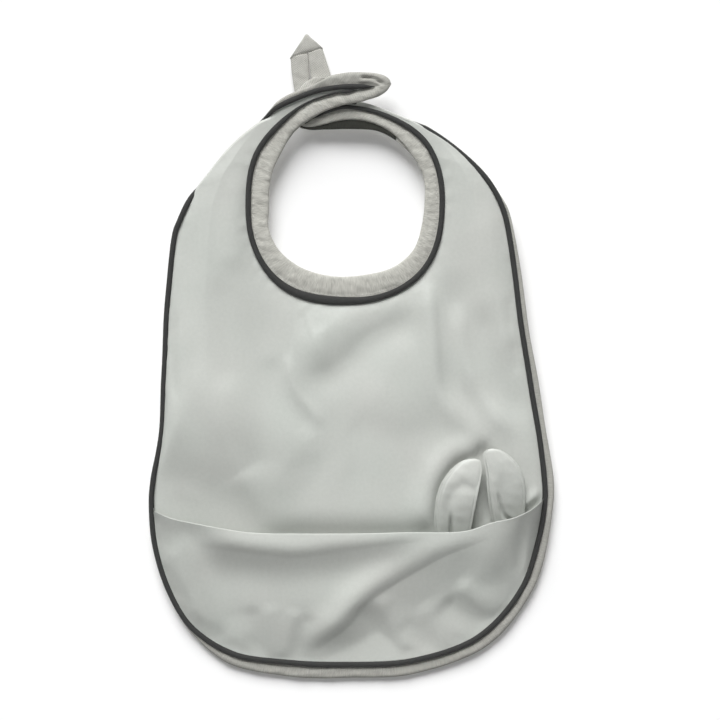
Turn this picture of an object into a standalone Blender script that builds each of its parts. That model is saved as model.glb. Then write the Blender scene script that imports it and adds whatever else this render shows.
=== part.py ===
"""A baby's bib of wipe-clean coated fabric, with a crumb pocket, two soft ears and a hanging loop.

The bib hangs upright: X runs to the viewer's right, Z up, and the coated front faces -Y.
The origin is the centre of the neck opening. Outlines are drawn as (x, z) points, and a
depth is how far in front of the middle of the cloth a face lies, so depth runs along -Y.
Lengths are written in millimetres and become metres through MM.
"""

import math

import bmesh
import bpy
from mathutils import Matrix, Vector

MM = 0.001
GAP = 0.3  # between neighbouring pieces

# Neck opening: the centreline of its piping is a slightly squared circle.
NECK_RADIUS = 58.3
NECK_SQUARENESS = 2.4
NECK_BAND_EDGE = 12.3  # piping centreline to the band's free edge
CUT_ANGLE = 40.0  # where a strap leaves the body, up from the X axis on either side

# Body: sides, then a squared ellipse round the bottom.
HALF_WIDTH = 118.2
WIDEST_Z = -178.0
BOTTOM_HEIGHT = 97.8
BOTTOM_SQUARENESS = 2.54
SIDE_POINTS = ((55.4, 46.5), (76.3, 26.4), (93.2, 2.4), (101.6, -32.0), (105.6, -62.0), (110.0, -104.0))
LEFT_BAND_EDGE = 3.5  # piping centreline to the outer band's free edge, up the left side
RIGHT_BAND_EDGE = 5.25
BOTTOM_BAND_EDGE = 9.6
BOTTOM_RUN = 85.0  # height over which both sides' bands widen

# Layers, as (back face, front face) depths.
LINING = (-2.0, -1.2)
FACE = (-0.8, -0.1)
BAND = (-0.8, 0.6)
PIPING_RADIUS = 1.75
PIPING_WALL = 0.45
PIPING_DEPTH = 1.0
CORD_RADIUS = PIPING_RADIUS - PIPING_WALL - GAP
CLEAR = PIPING_RADIUS + GAP

# Straps. A hairpin is the piping's line out along the strap's outer side and back along its inner side.
LEFT_HAIRPIN_OUT = ((-55.4, 46.5), (-40.0, 58.8), (-27.0, 65.0), (-13.0, 69.2), (0.0, 71.2), (12.0, 71.4))
LEFT_HAIRPIN_BACK = ((12.0, 67.4), (0.0, 66.9), (-13.0, 64.1), (-27.0, 57.9), (-38.5, 49.2))
LEFT_EDGE = (
    (-43.0, 61.0), (-31.0, 67.6), (-19.0, 72.6), (-9.0, 76.6), (0.0, 78.3), (11.0, 79.0), (19.5, 78.0),
    (25.5, 75.3), (28.0, 71.5), (26.0, 67.0), (18.0, 63.0), (9.0, 61.0), (-3.0, 59.0), (-15.0, 54.2),
    (-26.0, 46.5),
)
RIGHT_HAIRPIN_OUT = ((55.4, 46.5), (44.0, 50.8), (33.0, 55.0), (21.0, 60.0), (12.0, 62.7), (5.0, 63.8))
RIGHT_HAIRPIN_BACK = ((5.0, 59.4), (12.0, 58.5), (21.0, 55.6), (33.0, 50.2))
RIGHT_EDGE = (
    (46.0, 54.2), (33.0, 59.2), (21.0, 63.8), (12.0, 66.8), (4.0, 69.0), (-10.0, 71.5), (-20.0, 71.3),
    (-28.0, 68.0), (-30.0, 61.0), (-25.0, 52.5), (-13.0, 47.4), (3.0, 45.8), (16.0, 45.0), (27.0, 41.0),
)
STRAP_TILT = 3.2  # degrees: the left strap leans forward and the right one back, so that they overlap
NARROWEST_FACE = 2.0  # where the coated face between the two sides of a hairpin ends
PEEL_AXIS_DEPTH = 2.9
TAPE_SIZE = (22.0, 11.0)
TAPE_CENTRE = (-12.0, 63.0)
TAPE_SLOPE = 12.0
HOOK_TAPE = (-2.9, -2.3)
LOOP_TAPE = (0.9, 1.5)

# Hanging loop: a tape with a mitred point, its two legs side by side with a slit between them.
LOOP_OUTLINE = ((-31.2, 72.0), (-33.4, 87.6), (-22.8, 102.6), (-13.2, 93.6), (-9.2, 78.2))
LOOP_SLIT = ((-18.6, 75.6), (-21.6, 90.4), (-23.0, 90.8), (-20.4, 75.0))
LOOP_LAYER = (-7.6, -6.2)

# Crumb pocket: a curved wall that stands off the front, highest at the middle of its mouth.
POCKET_THICKNESS = 0.8
POCKET_SEAM_DEPTH = 0.3
POCKET_BULGE = 11.0
POCKET_FULLNESS = 6  # high values keep the pocket open close to its two ends
POCKET_INSET = 2.6  # inside the outer piping's centreline
POCKET_REACH = 115.2
MOUTH_LOW = -197.0
MOUTH_ENDS = ((-183.4, 3.5), (-175.0, 5.6))  # left and right: height, and how late the mouth rises to it
POCKET_COLUMNS, POCKET_ROWS = 28, 8
POCKET_HINGE = (-273.6, 0.0)  # z and depth

# Ears: two leaf-shaped layers each, standing behind the pocket's mouth.
EAR_LAYERS = (("back", (1.6, 2.3)), ("front", (2.6, 3.3)))
LEFT_EAR = ((57.6, -194.2), (56.2, -180.0), (60.5, -165.0), (70.0, -155.2), (80.0, -153.0), (83.2, -158.0), (77.6, -190.0))
RIGHT_EAR = ((87.8, -187.0), (83.6, -152.0), (86.5, -147.4), (93.5, -148.2), (103.0, -158.0), (107.8, -172.0), (107.4, -180.0))
EAR_HINGE_DEPTH = 3.5

COLOURS = {
    "coated fabric": ((0.53, 0.56, 0.51), 0.45),
    "piping tape": ((0.045, 0.045, 0.042), 0.7),
    "chambray": ((0.48, 0.47, 0.44), 0.9),
    "filler cord": ((0.75, 0.74, 0.70), 0.9),
    "fastening tape": ((0.62, 0.62, 0.59), 0.8),
}


# ---------------------------------------------------------------- outlines
def smooth_through(points, steps=4, before=None, after=None):
    """Catmull-Rom curve through the points, with optional neighbours that set its end directions."""
    pts = [Vector(p) for p in points]
    first = Vector(before) if before else 2 * pts[0] - pts[1]
    last = Vector(after) if after else 2 * pts[-1] - pts[-2]
    pts = [first, *pts, last]
    curve = []
    for a, b, c, d in zip(pts, pts[1:], pts[2:], pts[3:]):
        for k in range(steps):
            t = k / steps
            curve.append(
                0.5 * (2 * b + (c - a) * t + (2 * a - 5 * b + 4 * c - d) * t**2 + (3 * b - a - 3 * c + d) * t**3)
            )
    return [*curve, pts[-2]]


def offset(points, distances, start=None, end=None):
    """The curve moved to its left by distances. start and end replace the sideways direction at its two ends."""
    moved = []
    for i, p in enumerate(points):
        along = (points[min(i + 1, len(points) - 1)] - points[max(i - 1, 0)]).normalized()
        side = Vector((-along.y, along.x))
        if i == 0 and start:
            side = start
        if i == len(points) - 1 and end:
            side = end
        distance = distances[i] if isinstance(distances, list) else distances
        moved.append(p + side * distance)
    return moved


def shortened(points, start=0.0, end=0.0):
    """The curve with a little of its length taken off either end."""
    points = list(points)
    points[0] = points[0] + (points[1] - points[0]).normalized() * start
    points[-1] = points[-1] + (points[-2] - points[-1]).normalized() * end
    return points


def arc(centre, radius, start, stop, steps=6):
    """Points on a circle, between the two angles and without them, in degrees."""
    angles = [math.radians(start + (stop - start) * k / steps) for k in range(1, steps)]
    return [Vector(centre) + radius * Vector((math.cos(a), math.sin(a))) for a in angles]


def neck_point(angle):
    """The neck piping's centreline at an angle in degrees."""
    c, s = math.cos(math.radians(angle)), math.sin(math.radians(angle))
    radius = NECK_RADIUS / (abs(c) ** NECK_SQUARENESS + abs(s) ** NECK_SQUARENESS) ** (1 / NECK_SQUARENESS)
    return Vector((radius * c, radius * s))


def bottom_point(angle):
    """The outer piping's centreline round the bottom, from 0 at the right to -180 at the left."""
    c, s = math.cos(math.radians(angle)), math.sin(math.radians(angle))
    power = 2 / BOTTOM_SQUARENESS
    x = math.copysign(HALF_WIDTH * abs(c) ** power, c)
    return Vector((x, WIDEST_Z - BOTTOM_HEIGHT * abs(s) ** power))


def outer_line():
    """The outer piping's centreline, from the left cut round the bottom to the right cut."""
    bottom = [bottom_point(a) for a in range(-180, 1, 6)]
    right = smooth_through([*reversed(SIDE_POINTS)], before=bottom[-1], after=RIGHT_HAIRPIN_OUT[1])
    left = [Vector((-p.x, p.y)) for p in reversed(right)]
    return [*left, *bottom, *right]


def neck_line():
    """The neck piping's centreline, from the left cut round the bottom to the right cut."""
    count = 44
    sweep = 180 + 2 * CUT_ANGLE
    return [neck_point(180 - CUT_ANGLE + sweep * k / count) for k in range(count + 1)]


def cut_direction(side):
    """Outward along the cut between body and strap: side is -1 for the left and 1 for the right."""
    a = math.radians(CUT_ANGLE)
    return Vector((side * math.cos(a), math.sin(a)))


def eased(t):
    """0 to 1 with a soft start and stop."""
    t = min(1.0, max(0.0, t))
    return t * t * (3 - 2 * t)


def outer_band_widths(points):
    """The outer band shows most round the bottom of the bib, and least along its left side."""
    widths = []
    for p in points:
        side = LEFT_BAND_EDGE if p.x < 0 else RIGHT_BAND_EDGE
        widths.append(side + (BOTTOM_BAND_EDGE - side) * eased((WIDEST_Z - p.y) / BOTTOM_RUN))
    return widths


def apart(points, others, least):
    """The points that lie at least that far from all of the others."""
    return [p for p in points if min((p - q).length for q in others) >= least]


def ribbon(one, other):
    """The closed outline between two curves that run the same way."""
    return [*one, *reversed(other)]


# ---------------------------------------------------------------- objects
def material(name):
    made = bpy.data.materials.get(name)
    if made:
        return made
    made = bpy.data.materials.new(name)
    made.use_nodes = True
    colour, roughness = COLOURS[name]
    shader = made.node_tree.nodes["Principled BSDF"]
    shader.inputs["Base Color"].default_value = (*colour, 1.0)
    shader.inputs["Roughness"].default_value = roughness
    shader.inputs["Metallic"].default_value = 0.0
    return made


def add(obj, fabric, parent=None):
    """Puts the object in the bib's collection, keeping its place in the world under a parent empty."""
    bpy.data.collections["silicone_bib"].objects.link(obj)
    if fabric:
        obj.data.materials.append(material(fabric))
    if parent:
        obj.parent = parent
        obj.matrix_parent_inverse = Matrix.Translation(-parent.location)
    return obj


def plate(name, outline, layer, fabric, parent=None):
    """A flat piece of cloth: the outline, as thick as its layer."""
    data = bpy.data.curves.new(name, "CURVE")
    data.dimensions = "2D"
    data.fill_mode = "BOTH"
    data.extrude = (layer[1] - layer[0]) / 2 * MM
    spline = data.splines.new("POLY")
    spline.points.add(len(outline) - 1)
    for target, p in zip(spline.points, outline):
        target.co = (p[0] * MM, p[1] * MM, 0, 1)
    spline.use_cyclic_u = True
    obj = bpy.data.objects.new(name, data)
    obj.rotation_euler = (math.radians(90), 0, 0)
    obj.location = (0, -(layer[0] + layer[1]) / 2 * MM, 0)
    return add(obj, fabric, parent)


def round_line(name, line, radius, fabric, parent=None, capped=True):
    """A round cord along the line, at the piping's depth. Without caps it is an open tube wall."""
    data = bpy.data.curves.new(name, "CURVE")
    data.dimensions = "3D"
    data.bevel_depth = radius * MM
    data.bevel_resolution = 1
    data.use_fill_caps = capped
    spline = data.splines.new("POLY")
    spline.points.add(len(line) - 1)
    for target, p in zip(spline.points, line):
        target.co = (p.x * MM, -PIPING_DEPTH * MM, p.y * MM, 1)
    obj = bpy.data.objects.new(name, data)
    return add(obj, fabric, parent)


def piping(name, line, parent=None):
    """A tape sleeve, open at both ends, with its filler cord inside."""
    round_line(f"{name}_cord", line, CORD_RADIUS, "filler cord", parent)
    tube = round_line(name, line, PIPING_RADIUS, "piping tape", capped=False)
    bpy.context.view_layer.update()
    wall = bpy.data.meshes.new_from_object(tube.evaluated_get(bpy.context.evaluated_depsgraph_get()))
    bpy.data.objects.remove(tube)
    wall.shade_smooth()
    sleeve = add(bpy.data.objects.new(name, wall), None, parent)
    solid = sleeve.modifiers.new("wall", "SOLIDIFY")
    solid.thickness = PIPING_WALL * MM
    solid.offset = -1
    return sleeve


def hinge(name, point, depth, tilt=0.0, axis=Vector((1, 0))):
    """An empty on a joint's axis. Its children lean by tilt degrees about the axis."""
    empty = bpy.data.objects.new(name, None)
    empty.location = (point[0] * MM, -depth * MM, point[1] * MM)
    empty.rotation_mode = "AXIS_ANGLE"
    empty.rotation_axis_angle = (math.radians(tilt), axis[0], 0, axis[1])
    return add(empty, None)


# ---------------------------------------------------------------- sub-parts
def body(outer, neck):
    """Coated front, lining, both pipings and both edge bands, from cut to cut."""
    ends = {"start": -cut_direction(-1), "end": -cut_direction(1)}
    outward = offset(outer, [-w for w in outer_band_widths(outer)], **ends)
    outer_out = offset(outer, -CLEAR, **ends)
    outer_in = offset(outer, CLEAR, **ends)
    neck_out = offset(neck, -CLEAR, **ends)
    neck_in = offset(neck, CLEAR, **ends)
    neck_edge = offset(neck, NECK_BAND_EDGE, **ends)
    outward, outer_out, outer_in, neck_out, neck_in, neck_edge = (
        shortened(line, GAP, GAP) for line in (outward, outer_out, outer_in, neck_out, neck_in, neck_edge)
    )
    plate("back_panel", ribbon(outward, neck_edge), LINING, "chambray")
    plate("front_panel", ribbon(outer_in, neck_out), FACE, "coated fabric")
    plate("outer_band", ribbon(outward, outer_out), BAND, "chambray")
    plate("neck_band", ribbon(neck_in, neck_edge), BAND, "chambray")
    piping("outer_piping", shortened(outer, GAP, GAP))
    piping("neck_piping", shortened(neck, GAP, GAP))


def hairpin(out, back, end, tip_side):
    """The strap's piping line: out, round a tight half circle at the tip, and back to the neck cut."""
    top, bottom = Vector(out[-1]), Vector(back[0])
    centre = (top + bottom) / 2
    start, stop = (90, 90 - 180 * tip_side)
    going = smooth_through(out, after=(out[-1][0] + 6 * tip_side, out[-1][1]))
    coming = smooth_through([*back, end], before=(back[0][0] + 6 * tip_side, back[0][1]))
    return [*going, *arc(centre, (top - bottom).length / 2, start, stop), *coming]


def strap(side, line, edge, parent):
    """Lining, band, piping and the narrow coated face of one strap, from its cut to its rounded tip."""
    name = "left" if side < 0 else "right"
    outward = cut_direction(side)
    around = -side  # the hairpin turns clockwise on the left strap, anticlockwise on the right
    start = Vector(line[0]) + outward * (LEFT_BAND_EDGE if side < 0 else RIGHT_BAND_EDGE)
    stop = Vector(line[-1]) - outward * NECK_BAND_EDGE
    rim = shortened(smooth_through([start, *edge, stop], steps=3), GAP, GAP)
    sides = {"start": outward * around, "end": -outward * around}
    outside = shortened(offset(line, CLEAR * around, **sides), GAP, GAP)
    inside = shortened(offset(line, -CLEAR * around, **sides), GAP, GAP)
    plate(f"{name}_strap_lining", rim, LINING, "chambray", parent)
    plate(f"{name}_strap_band", ribbon(rim, outside), BAND, "chambray", parent)
    tip = max(range(len(line)), key=lambda i: around * line[i].x)
    going, coming = inside[:tip], inside[tip:]
    face = [*apart(going, coming, NARROWEST_FACE), *apart(coming, going, NARROWEST_FACE)]
    plate(f"{name}_strap_face", face, FACE, "coated fabric", parent)
    piping(f"{name}_strap_piping", shortened(line, GAP, GAP), parent)


def fastening_tape(name, layer, parent):
    """One half of the hook-and-loop fastening."""
    slope = math.radians(TAPE_SLOPE)
    along, across = Vector((math.cos(slope), math.sin(slope))), Vector((-math.sin(slope), math.cos(slope)))
    corners = [
        Vector(TAPE_CENTRE) + along * (i * TAPE_SIZE[0] / 2) + across * (j * TAPE_SIZE[1] / 2)
        for i, j in ((-1, -1), (1, -1), (1, 1), (-1, 1))
    ]
    plate(name, corners, layer, "fastening tape", parent)


def pocket_mouth(x):
    """The mouth's height at x: it sags between its two ends."""
    end, lateness = MOUTH_ENDS[x > 0]
    return MOUTH_LOW + (end - MOUTH_LOW) * (abs(x) / POCKET_REACH) ** lateness


def pocket_bottom(x):
    """The pocket's seam along the outer piping, at x."""
    share = min(1.0, abs(x) / (HALF_WIDTH - POCKET_INSET))
    drop = (BOTTOM_HEIGHT - POCKET_INSET) * (1 - share**BOTTOM_SQUARENESS) ** (1 / BOTTOM_SQUARENESS)
    return WIDEST_Z - drop


def pocket(parent):
    """A curved wall between the bottom seam and the sagging mouth, thickened to the front."""
    mesh = bpy.data.meshes.new("pocket_panel")
    grid = bmesh.new()
    bmesh.ops.create_grid(grid, x_segments=POCKET_COLUMNS, y_segments=POCKET_ROWS, size=1)
    for v in grid.verts:
        x = POCKET_REACH * math.sin(v.co.x * math.pi / 2)
        t = (v.co.y + 1) / 2
        z = pocket_bottom(x) + t * (pocket_mouth(x) - pocket_bottom(x))
        stand_off = (1 - abs(x / POCKET_REACH) ** POCKET_FULLNESS) * math.sin(math.pi / 2 * t**0.8)
        depth = POCKET_SEAM_DEPTH + POCKET_BULGE * stand_off
        v.co = (x * MM, -depth * MM, z * MM)
    grid.to_mesh(mesh)
    grid.free()
    mesh.shade_smooth()
    wall = add(bpy.data.objects.new("pocket_panel", mesh), "coated fabric", parent)
    solid = wall.modifiers.new("cloth", "SOLIDIFY")
    solid.thickness = POCKET_THICKNESS * MM
    solid.offset = 1


def ear(name, outline, parent):
    """Two layers sewn edge to edge, straight along the fold at the pocket's mouth."""
    shape = smooth_through(outline, steps=3)
    for layer_name, layer in EAR_LAYERS:
        plate(f"{name}_{layer_name}", shape, layer, "coated fabric", parent)


def build():
    for obj in list(bpy.data.objects):
        bpy.data.objects.remove(obj)
    bib = bpy.data.collections.new("silicone_bib")
    bpy.context.scene.collection.children.link(bib)
    outer, neck = outer_line(), neck_line()
    body(outer, neck)

    left_hinge = hinge("left_strap_hinge", neck[0], PEEL_AXIS_DEPTH, STRAP_TILT, -cut_direction(-1))
    left_line = hairpin(LEFT_HAIRPIN_OUT, LEFT_HAIRPIN_BACK, neck[0], 1)
    strap(-1, left_line, LEFT_EDGE, left_hinge)
    fastening_tape("hook_tape", HOOK_TAPE, left_hinge)

    right_corner = Vector(SIDE_POINTS[0]) + cut_direction(1) * RIGHT_BAND_EDGE
    right_hinge = hinge("right_strap_hinge", right_corner, LINING[0], STRAP_TILT, -cut_direction(1))
    right_line = hairpin(RIGHT_HAIRPIN_OUT, RIGHT_HAIRPIN_BACK, neck[-1], -1)
    strap(1, right_line, RIGHT_EDGE, right_hinge)
    fastening_tape("loop_tape", LOOP_TAPE, right_hinge)

    loop_base = (Vector(LOOP_OUTLINE[0]) + Vector(LOOP_OUTLINE[-1])) / 2
    loop_hinge = hinge("hanging_loop_hinge", loop_base, LOOP_LAYER[1])
    plate("hanging_loop", [*LOOP_OUTLINE, *LOOP_SLIT], LOOP_LAYER, "chambray", loop_hinge)

    pocket(hinge("pocket_hinge", (0, POCKET_HINGE[0]), POCKET_HINGE[1]))
    for name, outline in (("left_ear", LEFT_EAR), ("right_ear", RIGHT_EAR)):
        fold = (Vector(outline[-1]) - Vector(outline[0])).normalized()
        ear(name, outline, hinge(f"{name}_hinge", outline[0], EAR_HINGE_DEPTH, axis=fold))


build()
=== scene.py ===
"""Looks of the coated-fabric bib: wrinkled cloth, piping, edge bands, pocket, ears, straps and hanging loop.

Shapes are worked out in millimetres, as (x, z) points in the plane of the cloth and a depth that
grows towards the viewer. MM turns them into metres, and depth becomes -Y.
"""

import math

import bmesh
import bpy
import numpy as np
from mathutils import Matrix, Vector


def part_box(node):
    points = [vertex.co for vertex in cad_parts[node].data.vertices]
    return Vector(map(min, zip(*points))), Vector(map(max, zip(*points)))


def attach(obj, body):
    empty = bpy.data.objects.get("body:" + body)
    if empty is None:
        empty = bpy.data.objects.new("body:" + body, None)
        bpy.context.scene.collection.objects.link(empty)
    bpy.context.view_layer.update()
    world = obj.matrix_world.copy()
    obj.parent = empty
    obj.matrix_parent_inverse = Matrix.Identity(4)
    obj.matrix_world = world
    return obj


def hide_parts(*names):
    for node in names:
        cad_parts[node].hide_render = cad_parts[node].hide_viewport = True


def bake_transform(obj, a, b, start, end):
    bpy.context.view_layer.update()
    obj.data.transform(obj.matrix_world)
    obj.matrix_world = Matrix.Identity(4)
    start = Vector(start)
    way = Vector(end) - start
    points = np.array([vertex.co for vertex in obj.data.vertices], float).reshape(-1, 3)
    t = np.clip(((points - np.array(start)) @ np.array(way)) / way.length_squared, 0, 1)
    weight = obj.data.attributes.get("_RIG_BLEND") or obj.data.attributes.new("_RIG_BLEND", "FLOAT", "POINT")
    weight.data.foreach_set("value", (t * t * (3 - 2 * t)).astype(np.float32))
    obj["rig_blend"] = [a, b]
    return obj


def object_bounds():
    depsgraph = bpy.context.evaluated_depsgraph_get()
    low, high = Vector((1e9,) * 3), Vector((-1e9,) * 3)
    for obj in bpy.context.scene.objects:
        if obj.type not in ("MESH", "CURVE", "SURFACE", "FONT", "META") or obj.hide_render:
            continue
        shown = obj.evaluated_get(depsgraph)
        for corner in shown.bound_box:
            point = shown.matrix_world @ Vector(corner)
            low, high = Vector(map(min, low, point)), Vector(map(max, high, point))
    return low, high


MM = 0.001
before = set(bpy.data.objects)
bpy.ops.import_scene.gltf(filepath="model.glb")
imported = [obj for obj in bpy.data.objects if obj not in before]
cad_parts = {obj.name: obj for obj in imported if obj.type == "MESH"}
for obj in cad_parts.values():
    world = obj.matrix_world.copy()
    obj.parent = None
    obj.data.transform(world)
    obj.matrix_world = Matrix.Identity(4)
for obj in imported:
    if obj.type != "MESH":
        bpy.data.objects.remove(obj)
cad_box = [list(corner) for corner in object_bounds()]


def box_mm(node):
    """A CAD node's lowest and highest corner in millimetres."""
    low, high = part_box(node)
    return np.array(low) / MM, np.array(high) / MM


# ---- sizes from the frame
neck_low, neck_high = box_mm("neck_piping")
pocket_low, pocket_high = box_mm("pocket_panel")
loop_low, loop_high = box_mm("hanging_loop")

PIPING_RADIUS = (neck_high[1] - neck_low[1]) / 2
PIPING_DEPTH = -(neck_high[1] + neck_low[1]) / 2
NECK_RADIUS = (neck_high[0] - neck_low[0]) / 2 - PIPING_RADIUS
BOTTOM_Z = box_mm("outer_piping")[0][2] + PIPING_RADIUS
BACK_DEPTH = -box_mm("back_panel")[1][1]
LOOP_DEPTH = -(loop_low[1] + loop_high[1]) / 2
POCKET_HALF_WIDTH = (pocket_high[0] - pocket_low[0]) / 2

# ---- outlines
NECK_SQUARENESS = 2.4
NECK_BAND_EDGE = 12.3
# the neck band's width changes round the opening: degrees clockwise from the right, and extra millimetres
NECK_BAND_TURNS = (-40, -30, -15, 0, 15, 30, 45, 60, 75, 90, 105, 120, 135, 150, 165, 180, 220)
NECK_BAND_EXTRA = (0, -1.6, -3, -1.6, -0.9, -0.8, 0.9, 1.8, 2.2, 2.2, 2.6, 2.5, 2.2, 0.4, -1.4, 0, 0)
CUT_ANGLE = 40.0
# the outer piping's centreline, from the left cut down round the bottom to the right cut
OUTER_POINTS = (
    (-55, 46.8), (-67.2, 38.4), (-76.2, 26.4), (-85.6, 14.4), (-92.4, 5.4), (-99, -9.6), (-102.5, -21.6),
    (-106.4, -60), (-108.6, -100), (-109.4, -129.6), (-111.4, -147.6), (-114.9, -165.6), (-116.2, -180),
    (-114.6, -201.6), (-108.3, -225.6), (-97.5, -246.6), (-87, -258.2), (-73, -267.2), (-57, -272.5), (-27, -275.6),
    (0, -276.2), (27, -275.6), (45, -273), (63, -268), (80, -259.6), (95.3, -245.6), (108.3, -225.6), (116.1, -201.6),
    (119.7, -180), (119.5, -163), (114.7, -129.6), (109, -93.6), (103.7, -57.6), (98.9, -21.6), (93.8, -0.6),
    (84.2, 17.4), (69.4, 32.4), (54.6, 44),
)
# how far the outer band reaches past that line: heights, then widths on the left and on the right
BAND_HEIGHTS = (-276.2, -272.5, -268.7, -265, -259, -247, -225, -190, -150, -60, -21, -3, 5, 45)
BAND_LEFT = (8.3, 7.4, 6.3, 4.9, 3.4, 2.3, 1.3, 1.2, 1.2, 1.2, 1.2, 1.2, 1.2, 1.2)
BAND_RIGHT = (8.3, 8, 7.7, 7.5, 7.2, 7, 6.5, 5.7, 5, 4.4, 3.6, 3, 1.5, 1.2)
STRAP_LEAN = math.tan(math.radians(3.2))
LEAN_STARTS = 10.0  # the lean sets in over this distance on each side of the cut

# strap outlines, from the cut to the tip
LEFT_OUTER = ((-55, 46.8), (-41.4, 57.2), (-30.8, 62.6), (-17.6, 67.4), (-4.4, 69.7), (6.2, 70.2), (17.8, 70))
LEFT_INNER = ((-47.2, 39.6), (-37.4, 49.8), (-28.2, 57.2), (-20.2, 61.6), (-11.4, 64.8), (-4, 66.6), (7, 68))
LEFT_TIP = (17.8, 70)
LEFT_RIM_LOW = (
    (-37.8, 31.7), (-33.8, 38.6), (-29.2, 44.2), (-24.6, 47.8), (-18.2, 52.4), (-10.8, 56.1), (-1.6, 58.9), (9.4, 61),
    (14, 62.6), (20.5, 64.8), (25.3, 67.9), (27.7, 71.6),
)
LEFT_RIM_HIGH = (
    (-58.1, 48.8), (-49, 55), (-38.4, 63.3), (-31, 67), (-24, 69.6), (-17.6, 72), (-12.7, 74.6), (-7.1, 77.2),
    (3.9, 79), (15, 78.7), (22.3, 77.3), (26.4, 74.6), (27.7, 71.6),
)
RIGHT_OUTER = (
    (54.6, 44), (49, 46.9), (40.7, 50), (33, 53.2), (26, 56), (19, 58.8), (12, 61), (-2, 63.6), (-14, 63.6),
    (-22, 60.4), (-26, 55),
)
RIGHT_INNER = (
    (47.2, 39.6), (40.5, 45), (33, 49.2), (26, 52.7), (16.8, 56), (7.6, 57.7), (-1.6, 58), (-10, 55.6), (-17.5, 52),
    (-24, 48.4),
)
RIGHT_TIP = (-26, 52)
RIGHT_RIM_LOW = (
    (37.8, 31.7), (35.2, 36.8), (30.6, 41.4), (26, 44.4), (22.3, 46.7), (15, 49.1), (7.6, 50.2), (0.2, 50.3),
    (-7.1, 49.4), (-14.5, 47.8), (-21.8, 46.6), (-27.2, 48.6), (-29.8, 60),
)
RIGHT_RIM_HIGH = (
    (59, 49.6), (46, 54.2), (33, 59.2), (21, 63.8), (12, 66.8), (4, 69), (-10, 71.3), (-20, 71.2), (-27.3, 68),
    (-29.8, 60),
)
RIGHT_LINING_LOW = (
    (37.8, 31.7), (30.6, 38.3), (24.2, 42.3), (16.8, 44.6), (3.9, 45.2), (-10.8, 45), (-21, 44.8), (-28, 46.8),
    (-30, 59),
)
MOUTH = (
    (-116.3, -183.2), (-108, -186.4), (-101, -188.5), (-87.8, -191.1), (-70.2, -194.2), (-52.6, -196.4),
    (-26.2, -196.8), (9, -196.7), (36.6, -196), (61.8, -196), (74.4, -194.6), (87, -190.4), (99.6, -187.6),
    (108, -184.2), (114.7, -180.3), (119, -176.5),
)
TAPE_SIZE = (22.0, 11.0)
TAPE_CENTRE = (-12.0, 63.0)
TAPE_SLOPE = 12.0


# ---- curves
def smooth_curve(points, steps=8):
    """Catmull-Rom curve through the points."""
    p = np.array(points, float)
    p = np.vstack([2 * p[0] - p[1], p, 2 * p[-1] - p[-2]])
    t = np.linspace(0, 1, steps, endpoint=False)[:, None]
    spans = [
        0.5 * (2 * b + (c - a) * t + (2 * a - 5 * b + 4 * c - d) * t**2 + (3 * b - a - 3 * c + d) * t**3)
        for a, b, c, d in zip(p, p[1:], p[2:], p[3:])
    ]
    return np.vstack([*spans, p[-2]])


def lengths_along(line):
    return np.concatenate([[0.0], np.cumsum(np.linalg.norm(np.diff(line, axis=0), axis=1))])


def resample(line, count):
    """The curve as count points, evenly spaced along it."""
    along = lengths_along(line)
    wanted = np.linspace(0, along[-1], count)
    return np.stack([np.interp(wanted, along, line[:, k]) for k in range(line.shape[1])], axis=1)


def sideways(line):
    """Unit directions to the left of the curve, in its plane."""
    along = np.gradient(line, axis=0)
    along /= np.linalg.norm(along, axis=1)[:, None]
    return np.stack([-along[:, 1], along[:, 0]], axis=1)


def eased(t):
    t = np.clip(t, 0.0, 1.0)
    return t * t * (3 - 2 * t)


def across(start, reach, shares):
    """Rows of points from each start towards start + reach, at the shares given for all rows or for each."""
    return start[:, None] + reach[:, None] * shares[..., None]


def falloff(distance, reach):
    """1 at distance 0, and almost 0 at three times the reach."""
    return np.exp(-distance / reach)


def buildup(distance, reach):
    """0 at distance 0, and almost 1 at three times the reach."""
    return 1 - falloff(distance, reach)


def bell(distance, width):
    """1 at distance 0, and almost 0 at twice the width on either side."""
    return np.exp(-((distance / width) ** 2))


def neck_curve(count):
    """The neck piping's centreline, from the left cut round the bottom to the right cut."""
    a = np.radians(np.linspace(180 - CUT_ANGLE, 360 + CUT_ANGLE, count))
    c, s = np.cos(a), np.sin(a)
    radius = NECK_RADIUS / (abs(c) ** NECK_SQUARENESS + abs(s) ** NECK_SQUARENESS) ** (1 / NECK_SQUARENESS)
    return np.stack([radius * c, radius * s], axis=1)


def outer_curve(count):
    """The outer piping's centreline over the same way."""
    return resample(smooth_curve(OUTER_POINTS, 12), count)


def cut_normal(side):
    """In the plane, square to the cut between body and strap, pointing up the strap."""
    a = math.radians(CUT_ANGLE)
    return np.array([-side * math.sin(a), math.cos(a)])


LEFT_COLUMNS, BODY_COLUMNS, RIGHT_COLUMNS = 76, 330, 56
BODY_START = LEFT_COLUMNS - 1
BODY_END = BODY_START + BODY_COLUMNS - 1
BODY_MIDDLE = BODY_START + BODY_COLUMNS // 2
SEAM_COLUMN = BODY_END - 12  # where the pieces of the right shoulder start
KINK_COLUMNS = 12.0  # how far the kink at a cut is smoothed away, and how many times
KINK_PASSES = 30


def whole_path(left, body, right):
    """One row of points from the left strap's tip, down round the body, to the right strap's tip."""
    left = resample(smooth_curve(left), LEFT_COLUMNS)[::-1]
    right = resample(smooth_curve(right), RIGHT_COLUMNS)
    return relaxed(np.vstack([left[:-1], body, right[1:]]))


def relaxed(line):
    """The path with the kinks at its two cuts smoothed away."""
    column = np.arange(len(line))
    near = np.maximum(bell(column - BODY_START, KINK_COLUMNS), bell(column - BODY_END, KINK_COLUMNS))
    for _ in range(KINK_PASSES):
        middle = (line[:-2] + line[2:]) / 2
        line[1:-1] += near[1:-1, None] * (middle - line[1:-1]) * 0.9
    return line


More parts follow.
